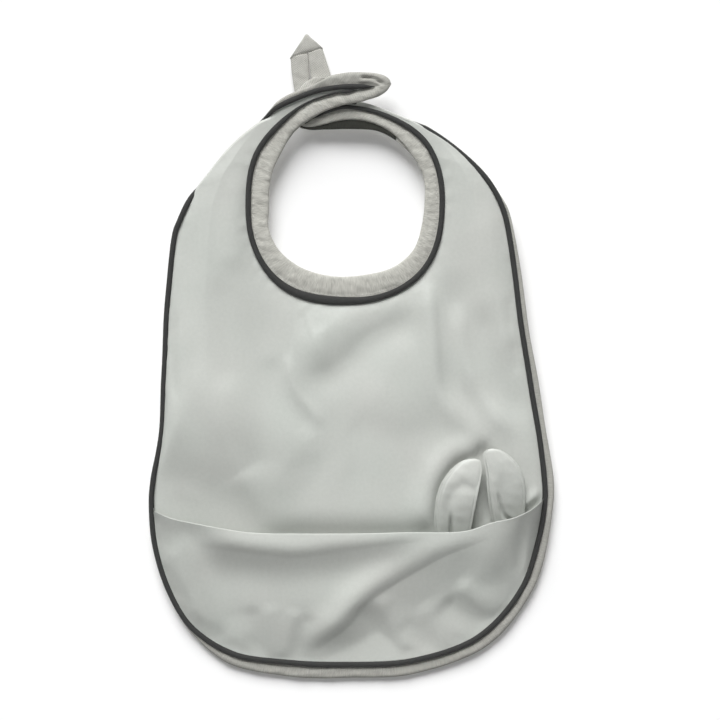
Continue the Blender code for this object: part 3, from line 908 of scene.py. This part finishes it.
def wobbling(edge, short, long):
    """The edge with a slight waver of two wavelengths. It starts still, where the two bands meet."""
    along = lengths_along(edge)
    waver = 0.25 * np.sin(along / short) + 0.2 * np.sin(along / long)
    return edge + sideways(edge) * (waver * eased(lengths_along(NECK_EDGE) / 12.0))[:, None]


def build_bands():
    """The neck band and the outer band, which run into one another round the left strap's tip."""
    tuck = ROLLED[:, None]
    start = OUTER_TO_TIP + sideways(OUTER) * TUCK_SHIFT * tuck
    reach = (wobbling(OUTER_EDGE, 9.1, 21.0) - OUTER_TO_TIP) * (1 - 1.75 * tuck)
    k = len(BAND_PROFILE)
    front = np.clip((BAND_PROFILE[:, 1] + 1.2) / 1.2, 0, 1)  # the wave leaves the band's back flat
    neck = swept(INNER_TO_TIP, wobbling(NECK_EDGE, 6.1, 14.0) - INNER_TO_TIP, 0 * ROLLED,
                 BAND_PROFILE, wave=band_wave, front=front)
    outer = swept(start, reach, BAND_TUCK * ROLLED, BAND_PROFILE, wave=band_wave, front=front)
    split_pieces("neck_band_cloth", *neck, k, "band", ("neck_band", "right_strap_band"), ghost=outer[0][k:2 * k])
    split_pieces("outer_band_cloth", *outer, k, "edge", ("outer_band", "left_strap_band"), ghost=neck[0][k:2 * k])


LINING_ROWS = 36
LINING_FRONT, LINING_BACK = -1.15, -1.9


def build_lining():
    """The grey back, from edge to edge."""
    inner = whole_path(LEFT_RIM_LOW, NECK_RIM, RIGHT_LINING_LOW)
    tuck = ROLLED[:, None]
    outer = OUTER_EDGE * (1 - tuck) + (OUTER + sideways(OUTER) * 1.0) * tuck
    inner[0] += (-0.3, -0.6)
    inner[-1] += (0.3, -0.6)
    share = np.concatenate([np.linspace(0.012, 0.988, LINING_ROWS), np.linspace(0.985, 0.015, LINING_ROWS)])
    profile = np.stack([share, np.repeat((LINING_FRONT, LINING_BACK), LINING_ROWS)], axis=1)
    sheet = swept(inner, outer - inner, 0 * ROLLED, profile,
                  wave=lambda points: 0.12 * rumple(points, wavelength=30.0, seed=41) - 0.1)
    split_pieces("back_lining", *sheet, len(profile), "lining",
                 ("back_panel", "left_strap_lining", "right_strap_lining"))


def build_under_strip():
    """The dark facing that shows below the right strap's band: a dark strip that is partly the facing itself and
    partly painted shade under the band.
    """
    shells = Shells()
    upper = tuple(np.array(p) + (0.0, 1.2) for p in RIGHT_RIM_LOW[2:-1])
    strip(shells, upper, RIGHT_LINING_LOW[1:-1], 0.0, 0.5, count=80, crown=0.1)
    obj = shells.piece("under_facing_and_shade", "facing")
    positions = read_layer(obj.data.vertices, "co", 3)
    positions[:, 1] -= (strap_lift(positions[:, (0, 2)] / MM, 1) - 0.75) * MM
    obj.data.vertices.foreach_set("co", positions.ravel())
    blend_at_cut(obj, 1)


# ---- stitches
# spacing, length and radius
NECK_STITCH = (2.5, 1.5, 0.24)
HEM_STITCH = (1.6, 0.9, 0.2)
LOOP_STITCH = (1.5, 0.9, 0.16)
SEAM_INSET = 3.1


def stitch_row(name, line, height, spacing, length, radius):
    """Short raised stitches along a line. height gives their depth at (x, z) points."""
    along = lengths_along(line)
    shells = Shells()
    ring = circle(THREAD_SIDES)
    bulge = np.array([0.35, 1.0, 1.0, 0.35]) * radius
    rise = np.array([-0.5, 0.3, 0.3, -0.5])[:, None] * radius
    for a in np.arange(spacing, along[-1] - spacing, spacing):
        spots = np.linspace(a - length / 2, a + length / 2, len(bulge))
        middle = np.stack([np.interp(spots, along, line[:, k]) for k in (0, 1)], axis=1)
        direction = middle[-1] - middle[0]
        side = np.array([-direction[1], direction[0]]) / np.linalg.norm(direction)
        points = (middle[:, None] + side * (ring[None, :, :1] * bulge[:, None, None])).reshape(-1, 2)
        depth = height(middle)[:, None] + rise + ring[None, :, 1] * bulge[:, None]
        shells.add_tube(place(points, depth.ravel()), len(ring), points)
    return shells.piece(name, "thread")


def build_stitches():
    """The row round the neck band, in three pieces, and the short one on the right strap's hem."""
    seam = INNER_TO_TIP + sideways(INNER_TO_TIP) * SEAM_INSET
    share = SEAM_INSET / np.linalg.norm(NECK_EDGE - INNER_TO_TIP, axis=1)
    front = BAND_PROFILE[:len(BAND_PROFILE) * 10 // 16]
    front = front[np.argsort(front[:, 0])]

    def neck_row(label, columns, side):
        def height(points):
            index = [columns[np.argmin(np.linalg.norm(seam[columns] - p, axis=1))] for p in points]
            top = np.interp(share[index], front[:, 0], front[:, 1])
            return top + strap_lift(points, side) + band_wave(points) - 0.02

        return stitch_row(f"neck_stitches_{label}", seam[columns], height, *NECK_STITCH)

    body = np.arange(12, SEAM_COLUMN + 1)
    hem = (SIDE > 0) & (OUTER[:, 0] > 14) & (OUTER[:, 0] < 41) & (OUTER[:, 1] > 45)
    edge = (OUTER + sideways(OUTER) * 1.0)[hem]
    blend_at_cut(neck_row("left", body[body < BODY_MIDDLE], -1), -1)
    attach(neck_row("bottom", body[body >= BODY_MIDDLE], 1), "root")
    blend_at_cut(stitch_row("strap_stitches_right", edge, lambda p: strap_lift(p, 1) + 0.25, *HEM_STITCH), 1)
    blend_at_cut(neck_row("right", np.arange(SEAM_COLUMN, COLUMNS - 12), 1), 1)


# ---- pocket
POCKET_INSET = 1.0
POCKET_DEPTH = 16.5  # how far forward its mouth stands
POCKET_COLUMNS, POCKET_ROWS = 300, 84
POCKET_FOLD_GAIN = 1.35
RIM_RADIUS = 0.3  # the rounded rim of its mouth
RIM_ANGLES = np.radians((35, 70, 105, 140))


def pocket_bottom():
    """The seam that the pocket shares with the outer piping, from the left end of its mouth to the right end."""
    inside = RIM + sideways(RIM) * POCKET_INSET
    first, last = (np.argmin(np.linalg.norm(inside - end, axis=1)) for end in (MOUTH[0], MOUTH[-1]))
    return inside[first:last + 1]


def pocket_height(points, share):
    """The slack wall's depth: sewn down along its seam, and standing open at its mouth."""
    reach = np.clip(abs(points[:, 0] - 1.5) / (POCKET_HALF_WIDTH + 3.0), 0, 1)
    belly = 0.5 * np.sin(math.pi / 2 * share) + 0.5 * share
    return 0.5 + POCKET_DEPTH * (1 - reach ** np.where(points[:, 0] < 0, 12, 20)) * belly


def build_pocket():
    """The wall from its seam up to its mouth, over the mouth's rounded rim, and down again on the inside."""
    mouth = resample(smooth_curve(MOUTH, 6), POCKET_COLUMNS)
    seam = resample(pocket_bottom(), POCKET_COLUMNS)
    # the mouth's ends share their place with the seam's ends, a hair apart
    mouth[:3] = seam[0] + (mouth[:3] - mouth[0]) + (0.3, 0.3)
    t = np.linspace(0, 1, POCKET_ROWS)
    points = seam[:, None] * (1 - t[None, :, None]) + mouth[:, None] * t[None, :, None]
    flat = points.reshape(-1, 2)
    span = np.linalg.norm(mouth - seam, axis=1)
    from_edge = (span[:, None] * t[None]).ravel()
    from_mouth = (span[:, None] * (1 - t[None])).ravel()
    height = pocket_height(flat, np.tile(t, POCKET_COLUMNS))
    free = buildup(from_edge, 6.0) * (0.25 + 0.75 * buildup(from_mouth, 8.0))
    height += POCKET_FOLD_GAIN * folded(flat, POCKET_FOLDS) * free
    height += puckers(flat, from_edge, 0.22, seed=7)
    height += 0.30 * rumple(flat, wavelength=40.0, seed=8) * buildup(from_edge, 9.0)
    front = above_floor(height, 0.9, 0.25).reshape(POCKET_COLUMNS, POCKET_ROWS)
    radius = (RIM_RADIUS * np.minimum(1.0, span / 12.0))[:, None]
    rim = mouth[:, None] + np.array([0.0, 1.0]) * (radius * np.sin(RIM_ANGLES)[None])[:, :, None]
    rim_depth = front[:, -1:] - radius * (1 - np.cos(RIM_ANGLES))[None]
    inside = points[:, ::-3]
    thickness = np.minimum(2.4 * radius, front[:, ::-3] * 0.5 + 0.2)
    inside_depth = front[:, ::-3] - np.where(np.arange(inside.shape[1])[None] < 8, thickness, 0.5)
    ring = np.concatenate([points, rim, inside], axis=1)
    depth = np.concatenate([front, rim_depth, inside_depth], axis=1)
    flat = ring.reshape(-1, 2)
    shells = Shells()
    shells.add_tube(place(flat, depth.ravel()), ring.shape[1], flat)
    obj = shells.piece("pocket_cloth", "coated", ("pocket_panel",))
    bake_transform(obj, "root", "pocket", start=(0, 0, BOTTOM_Z * MM), end=(0, 0, mouth[:, 1].min() * MM))
    # the wall moves freely at its mouth, and not at all along its seam
    free = np.sin(math.pi * np.linspace(0, 1, POCKET_COLUMNS)) ** 0.7
    shares = np.concatenate([t, np.ones(len(RIM_ANGLES)), t[::-3]])
    weights = (free[:, None] * eased(shares)[None]).ravel()
    obj.data.attributes["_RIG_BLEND"].data.foreach_set("value", weights.astype(np.float32))


# ---- ears
# an ear's section, from its left edge over the front to its right edge and back behind
EAR_PROFILE = smooth_curve((
    (0, -0.35), (0, 0.35), (0.02, 0.6), (0.07, 0.72), (0.1, 1), (0.2, 1.35), (0.4, 1.65), (0.6, 1.65),
    (0.8, 1.35), (0.9, 1), (0.93, 0.72), (0.98, 0.6), (1, 0.35), (1, -0.35), (0.9, -0.7), (0.7, -1.1),
    (0.5, -1.2), (0.3, -1.1), (0.1, -0.7),
), 5)[:-1]

# each ear's two edges from the base up, its folds, and how far forward it stands at base, middle and top
LEFT_EAR = {
    "left": ((58.4, -203), (55.4, -196), (54.6, -187), (56.2, -174), (59.6, -165.4), (65, -158.4),
             (70.6, -154), (75.4, -152.6)),
    "right": ((74.6, -203), (75.6, -194), (76.6, -188), (79.2, -174), (81.2, -164), (81.7, -157.6),
              (80.4, -153.6), (77.4, -152.4)),
    "folds": (
        (((88, -172.5), (74.5, -169.7), (69.4, -168.9), (64.9, -173), (62.2, -181), (62.2, -189), (63, -226)),
         (4.2, 3), -1.15),
        (((62.8, -183), (63.2, -190), (63.6, -198), (63.8, -230)), (0.5, 2.6), (-1.5, -13)),
    ),
    "lean": (3.2, 9.4, 8.2),
}
RIGHT_EAR = {
    "left": ((91, -196), (89.4, -190), (88, -184), (86.4, -172), (85.6, -162), (84, -152.6), (84, -149),
             (86, -147)),
    "right": ((106.4, -190.5), (107.4, -185), (107.8, -176), (107, -167), (104, -157.8),
              (99, -151.4), (93.4, -147.6), (88.4, -146.4)),
    "folds": (
        (((97.5, -153), (95.8, -162), (94.8, -172), (95.2, -181), (96.8, -190), (98.2, -230)), 4, -0.9),
        (((91, -170), (92.4, -178), (94.2, -184.5), (97, -188.6), (101.5, -190.6), (109, -190.5)),
         (0.5, 1.4), (-0.6, -4.6)),
    ),
    "lean": (2.4, 8.4, 8.8),
}
EAR_COLUMNS = 64
# each layer's shift from the ear's outline, how far back it lies, and how much it is stuffed
EAR_LAYERS = (((0.0, 0.0), 0.0, 1.0), ((1.3, 0.1), 1.3, 0.25))


def build_ear(name, body, shape, base_z, nodes):
    """A stuffed leaf over a flat back layer, whose left edge shows. Their base goes down into the pocket."""
    left, right = (resample(smooth_curve(shape[side]), EAR_COLUMNS) for side in ("left", "right"))
    k = len(EAR_PROFILE)
    up = np.linspace(0, 1, EAR_COLUMNS)
    size = np.sqrt(np.clip(1 - up**6, 0.03, 1)) * (0.35 + 0.65 * eased(up / 0.45))
    lean = smooth_curve(tuple(zip((0.0, 0.55, 1.0), shape["lean"])), 20)
    lean = np.interp(up, lean[:, 0], lean[:, 1])
    from_side = np.minimum(EAR_PROFILE[:, 0], 1 - EAR_PROFILE[:, 0])
    inside = np.tile(eased(from_side / 0.12), EAR_COLUMNS) * np.repeat(0.4 + 0.6 * size, k)
    shells = Shells()
    for shift, drop, puff in EAR_LAYERS:
        points = across(left - shift, right - left, EAR_PROFILE[:, 0]).reshape(-1, 2)
        depth = (lean[:, None] - drop + puff * size[:, None] * EAR_PROFILE[None, :, 1]).ravel()
        depth += folded(points, shape["folds"]) * inside
        depth += 0.06 * rumple(points, wavelength=7.0, seed=51)
        shells.add_tube(place(points, depth), k, points)
    obj = shells.piece(name, "coated", nodes)
    x = points[:, 0].mean() * MM
    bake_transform(obj, "root", body, start=(x, 0, (base_z - 4.0) * MM), end=(x, 0, (base_z + 5.0) * MM))


# ---- loop and fastening tapes
# a strip's section: shares of its width, depths, and how much of its crown is added
STRIP_SHARE = np.array([0.0, 0.02, 0.08, 0.3, 0.5, 0.7, 0.92, 0.98, 1.0, 0.98, 0.9, 0.5, 0.1, 0.02])
STRIP_RISE = np.array([-0.5, 0.1, 0.45, 0.5, 0.5, 0.5, 0.45, 0.1, -0.5, -0.9, -1.0, -1.0, -1.0, -0.9])
STRIP_CROWN = np.array([0.0, 0.0, 0.3, 1.0, 1.1, 1.0, 0.3, 0.0, 0.0, 0.0, 0.0, 0.0, 0.0, 0.0])


def strip(shells, left, right, depth, thickness, count=40, crown=0.25, turn=False):
    """A flat closed strip between two edges, a little thicker in its middle."""
    a, b = (resample(smooth_curve(edge), count) for edge in (left, right))
    points = across(a, b - a, STRIP_SHARE).reshape(-1, 2)
    height = depth + np.tile(STRIP_RISE * thickness / 1.5 + STRIP_CROWN * crown, count)
    height = height + 0.15 * rumple(points, wavelength=6.0, seed=61)
    width = np.linalg.norm(b - a, axis=1).mean()
    cloth = np.stack([np.repeat(lengths_along(a), len(STRIP_SHARE)), np.tile(STRIP_SHARE * width, count)], axis=1)
    shells.add_tube(place(points, height), len(STRIP_SHARE), cloth[:, ::-1] if turn else cloth)


# the folded tape's parts: left edge, right edge, how far forward, thickness and how strip() makes it
LOOP_STRIPS = (
    (((-33, 89), (-32.2, 80), (-30.4, 68), (-29.6, 62)),
     ((-22.35, 91.4), (-21.9, 85), (-21.6, 76), (-21.2, 64)), 0.0, 1.2, {}),
    (((-22.35, 91.4), (-21.8, 85), (-20.2, 76), (-18.2, 66)),
     ((-13.6, 94.6), (-11.4, 87.3), (-8.6, 78), (-7, 68)), 0.0, 1.2, {}),
    (((-33.4, 88), (-23.4, 91.3), (-13.2, 94.2)),
     ((-26, 99.2), (-23.3, 102.9), (-20, 100.2)), 0.35, 1.2, {"crown": 0.35, "turn": True}),
    (((-30.6, 67), (-24, 73.6), (-18.6, 77)),
     ((-20, 66), (-16, 71), (-12.4, 76.6)), 0.9, 0.9, {"turn": True}),
)
# its stitches: their line and how far forward
LOOP_SEAMS = (
    (((-32, 90.2), (-23.4, 93), (-15, 95.4)), 1.1),
    (((-24.2, 90), (-23.6, 84), (-22.8, 77)), 0.62),
    (((-20.6, 90.4), (-19.9, 84), (-18.4, 77.6)), 0.62),
)
LOOP_FOOT = (70.0, 76.0)  # the heights between which it bends


def build_loop():
    """A tape folded to a point: two legs side by side, and the mitred point that holds them together."""
    shells = Shells()
    for left, right, forward, thickness, options in LOOP_STRIPS:
        strip(shells, left, right, LOOP_DEPTH + forward, thickness, **options)
    obj = shells.piece("loop_tape_folded", "tape", ("hanging_loop",))
    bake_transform(obj, "left_strap", "hanging_loop", start=(0, 0, LOOP_FOOT[0] * MM), end=(0, 0, LOOP_FOOT[1] * MM))
    for number, (line, forward) in enumerate(LOOP_SEAMS):
        stitches = stitch_row(f"loop_stitches_{number}", resample(smooth_curve(line), 60),
                              lambda p, top=LOOP_DEPTH + forward: np.full(len(p), top), *LOOP_STITCH)
        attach(stitches, "hanging_loop")


TAPE_SHARE = np.array([-1.0, -0.97, -0.5, 0.0, 0.5, 0.97, 1.0, 0.97, 0.0, -0.97])
TAPE_RISE = np.array([0.5, 0.95, 1.0, 1.0, 1.0, 0.95, 0.5, 0.0, 0.0, 0.0])
TAPE_COLUMNS = 34


def build_tape(name, side, body, low, high, fabric, node):
    """A rectangle of fastening tape with rounded corners, sewn to a strap. It fills low to high in depth."""
    a = math.radians(TAPE_SLOPE)
    axis, square = np.array([math.cos(a), math.sin(a)]), np.array([-math.sin(a), math.cos(a)])
    t = np.linspace(-1, 1, TAPE_COLUMNS)
    half = TAPE_SIZE[1] / 2 * (1 - 0.25 * abs(t) ** 12)
    line = np.array(TAPE_CENTRE) + axis * (TAPE_SIZE[0] / 2 * t)[:, None]
    points = (line[:, None] + square * (half[:, None, None] * TAPE_SHARE[None, :, None])).reshape(-1, 2)
    depth = low + (high - low) * np.tile(TAPE_RISE, TAPE_COLUMNS) + strap_lift(points, side)
    shells = Shells()
    shells.add_tube(place(points, depth), len(TAPE_SHARE), points)
    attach(shells.piece(name, fabric, (node,)), body)


build_front()
build_pipings()
build_bands()
build_lining()
build_under_strip()
build_stitches()
build_pocket()
build_ear("left_ear_cloth", "left_ear", LEFT_EAR, -192.0, ("left_ear_back", "left_ear_front"))
build_ear("right_ear_cloth", "right_ear", RIGHT_EAR, -187.0, ("right_ear_back", "right_ear_front"))
build_loop()
build_tape("hook_tape_rows", -1, "left_strap", -2.9, -2.3, "hook", "hook_tape")
build_tape("loop_tape_pile", 1, "right_strap", 0.95, 1.5, "loop", "loop_tape")


# ---- stage
WALL_GAP_LOW, WALL_GAP_HIGH = 0.0009, 0.0112  # behind the bib's bottom edge and behind its straps
WALL_SIZE, FLOOR_SIZE, FLOOR_DROP = 8.0, 40.0, 0.06
BACKDROP_RADIUS, BACKDROP_HEIGHT = 15.0, 24.0
WHITE = (1.0, 1.0, 1.0, 1.0)
CAMERA_DISTANCE, CAMERA_X, CAMERA_Z = 1.4, 0.009, -0.0936
FRAME_WIDTH, SENSOR_WIDTH = 0.432, 36.0


def stage_material(name, grey):
    """Matt paint, and its node tree."""
    material = bpy.data.materials.new(name)
    material.use_nodes = True
    inputs = material.node_tree.nodes["Principled BSDF"].inputs
    inputs["Base Color"].default_value = (grey, grey, grey, 1.0)
    inputs["Roughness"].default_value = 0.9
    return material, material.node_tree


def wall_paint():
    """Paint that is clear from behind, so that the bib's back can be seen."""
    material, tree = stage_material("wall_paint", 0.95)
    kinds = ("NewGeometry", "BsdfTransparent", "MixShader")
    facing, clear, mix = (tree.nodes.new(f"ShaderNode{kind}") for kind in kinds)
    tree.links.new(facing.outputs["Backfacing"], mix.inputs[0])
    tree.links.new(tree.nodes["Principled BSDF"].outputs[0], mix.inputs[1])
    tree.links.new(clear.outputs[0], mix.inputs[2])
    tree.links.new(mix.outputs[0], tree.nodes["Material Output"].inputs["Surface"])
    return material


def glowing_paint():
    """White light of its own, for the backdrop that fills the view behind the wall and the floor."""
    material, tree = stage_material("backdrop_paint", 0.0)
    inputs = tree.nodes["Principled BSDF"].inputs
    inputs["Emission Color"].default_value = WHITE
    inputs["Emission Strength"].default_value = 1.0
    return material


def staged(name, material, unseen):
    """Names the object just added and gives it its material. unseen names the kinds of ray that miss it."""
    obj = bpy.context.object
    obj.name = name
    obj.data.materials.append(material)
    for kind in unseen:
        setattr(obj, f"visible_{kind}", False)


def sun(name, direction, strength, softness):
    light = bpy.data.lights.new(name, "SUN")
    light.energy = strength
    light.angle = math.radians(softness)
    obj = bpy.data.objects.new(name, light)
    obj.rotation_euler = Vector(direction).to_track_quat("-Z", "Y").to_euler()
    bpy.context.scene.collection.objects.link(obj)


bottom = cad_box[0][2]
slope = (WALL_GAP_HIGH - WALL_GAP_LOW) / (cad_box[1][2] - bottom)
bpy.ops.mesh.primitive_plane_add(
    size=WALL_SIZE, location=(0, -BACK_DEPTH * MM + WALL_GAP_LOW - slope * bottom, 0),
    rotation=(math.radians(90) - math.atan(slope), 0, 0),
)
staged("wall", wall_paint(), ("shadow", "diffuse"))
bpy.ops.mesh.primitive_plane_add(size=FLOOR_SIZE, location=(0, 0, bottom - FLOOR_DROP))
staged("floor", stage_material("floor_paint", 0.85)[0], ("diffuse",))
bpy.ops.mesh.primitive_cylinder_add(
    vertices=96, radius=BACKDROP_RADIUS, depth=BACKDROP_HEIGHT, end_fill_type="NOTHING")
staged("backdrop", glowing_paint(), ("shadow", "diffuse", "glossy"))

scene = bpy.context.scene
scene.world = bpy.data.worlds.new("studio")
scene.world.use_nodes = True
background = scene.world.node_tree.nodes["Background"].inputs
background["Color"].default_value = WHITE
background["Strength"].default_value = 0.28
sun("key", (0.26, 0.85, -1.25), 4.3, 40)
sun("back_fill", (-0.5, -1.0, -0.7), 2.3, 30)

camera_data = bpy.data.cameras.new("camera")
camera_data.sensor_width = SENSOR_WIDTH
camera_data.lens = SENSOR_WIDTH * CAMERA_DISTANCE / FRAME_WIDTH
camera = bpy.data.objects.new("camera", camera_data)
camera.location = (CAMERA_X, -CAMERA_DISTANCE, CAMERA_Z)
camera.rotation_euler = (math.radians(90), 0, 0)
scene.collection.objects.link(camera)
scene.camera = camera
scene.view_settings.view_transform = "Standard"
